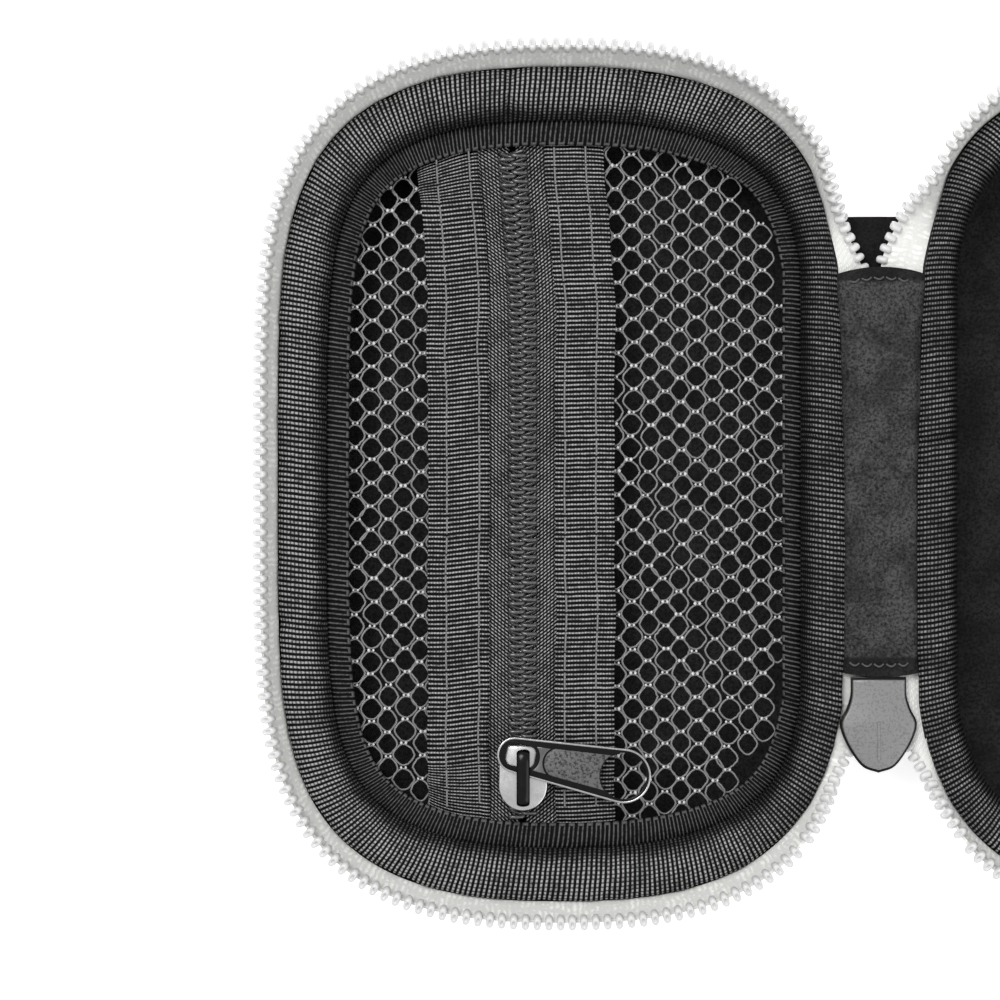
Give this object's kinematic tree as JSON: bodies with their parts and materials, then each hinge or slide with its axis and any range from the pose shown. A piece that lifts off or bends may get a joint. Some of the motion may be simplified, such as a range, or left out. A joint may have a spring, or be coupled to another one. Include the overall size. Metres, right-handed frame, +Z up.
{
  "type": "clamshell travel case",
  "caption": "Small soft-hinged travel case lying open: two padded trays with ribbed bindings, a perimeter zip and a zipped mesh pocket in one half.",
  "frame": {"origin": "on the surface that the open case lies on, under the middle of the spine", "axes": "+X across the open case from the pocket half to the lid half, +Y along the spine away from the parked sliders, +Z up out of the trays"},
  "size_m": [0.1936, 0.1364, 0.0247],
  "materials": {
    "cover_canvas": "matte black woven nylon over the outside",
    "foam_core": "matte moulded foam, covered on both faces",
    "lining_cloth": "matte black lining cloth",
    "grosgrain": "black ribbed grosgrain with a soft sheen on the ribs",
    "zip_tape": "white woven zip tape",
    "zip_teeth": "milky white moulded resin",
    "mesh_cloth": "black open warp-knit mesh, slightly glossy",
    "coil_tape": "black twill zip tape",
    "coil_nylon": "black nylon coil, satin gloss",
    "hinge_knit": "dark grey brushed knit",
    "slider_metal": "satin grey cast metal",
    "tab_metal": "gunmetal gloss rim with a grained dark panel"
  },
  "bodies": {
    "pocket_half": {"pocket_outer_cover": "cover_canvas", "pocket_foam_shell": "foam_core", "pocket_lining": "lining_cloth", "pocket_rim_binding": "grosgrain", "pocket_zip_tape": "zip_tape", "pocket_zip_teeth": "zip_teeth", "pocket_edge_binding": "grosgrain", "mesh_panel_narrow": "mesh_cloth", "mesh_panel_wide": "mesh_cloth", "mesh_trim_narrow": "grosgrain", "mesh_trim_wide": "grosgrain", "coil_tape_narrow_side": "coil_tape", "coil_tape_wide_side": "coil_tape", "coil_narrow_side": "coil_nylon", "coil_wide_side": "coil_nylon"},
    "spine": {"hinge_inner_strip": "hinge_knit", "hinge_outer_strip": "cover_canvas", "zip_end_pocket_top": "zip_tape", "zip_end_pocket_bottom": "zip_tape", "zip_end_lid_top": "zip_tape", "zip_end_lid_bottom": "zip_tape"},
    "lid_half": {"lid_outer_cover": "cover_canvas", "lid_foam_shell": "foam_core", "lid_lining": "lining_cloth", "lid_rim_binding": "grosgrain", "lid_zip_tape": "zip_tape", "lid_zip_teeth": "zip_teeth"},
    "pocket_slider": {"pocket_slider_body": "slider_metal", "pocket_slider_bail": "tab_metal"},
    "pocket_pull": {"pocket_pull_tab": "tab_metal"},
    "main_slider": {"main_slider_body": "slider_metal", "main_slider_bail": "tab_metal"},
    "main_pull": {"main_pull_tab": "tab_metal"}
  },
  "joints": [
    {"name": "spine_fold", "type": "hinge", "parent": "pocket_half", "child": "spine", "pos_m": [-0.0058, 0, 0.019], "axis": [0, -1, 0], "range_deg": [0, 90]},
    {"name": "lid_fold", "type": "hinge", "parent": "spine", "child": "lid_half", "pos_m": [0.0058, 0, 0.019], "axis": [0, -1, 0], "range_deg": [0, 90]},
    {"name": "pocket_slider_slide", "type": "slide", "parent": "pocket_half", "child": "pocket_slider", "axis": [0, 1, 0], "range_m": [0, 0.09]},
    {"name": "pocket_pull_swing", "type": "hinge", "parent": "pocket_slider", "child": "pocket_pull", "pos_m": [-0.0556, -0.0419, 0.0172], "axis": [0, 0, 1], "range_deg": [-25, 205]},
    {"name": "main_slider_slide", "type": "slide", "parent": "spine", "child": "main_slider", "axis": [0, -1, 0], "range_m": [0, 0.003]},
    {"name": "main_pull_flip", "type": "hinge", "parent": "main_slider", "child": "main_pull", "pos_m": [0, -0.0369, 0.01365], "axis": [1, 0, 0], "range_deg": [-145, 31]}
  ],
  "couplings": [
    {"joint": "spine_fold", "follows": "lid_fold", "ratio": 1}
  ]
}
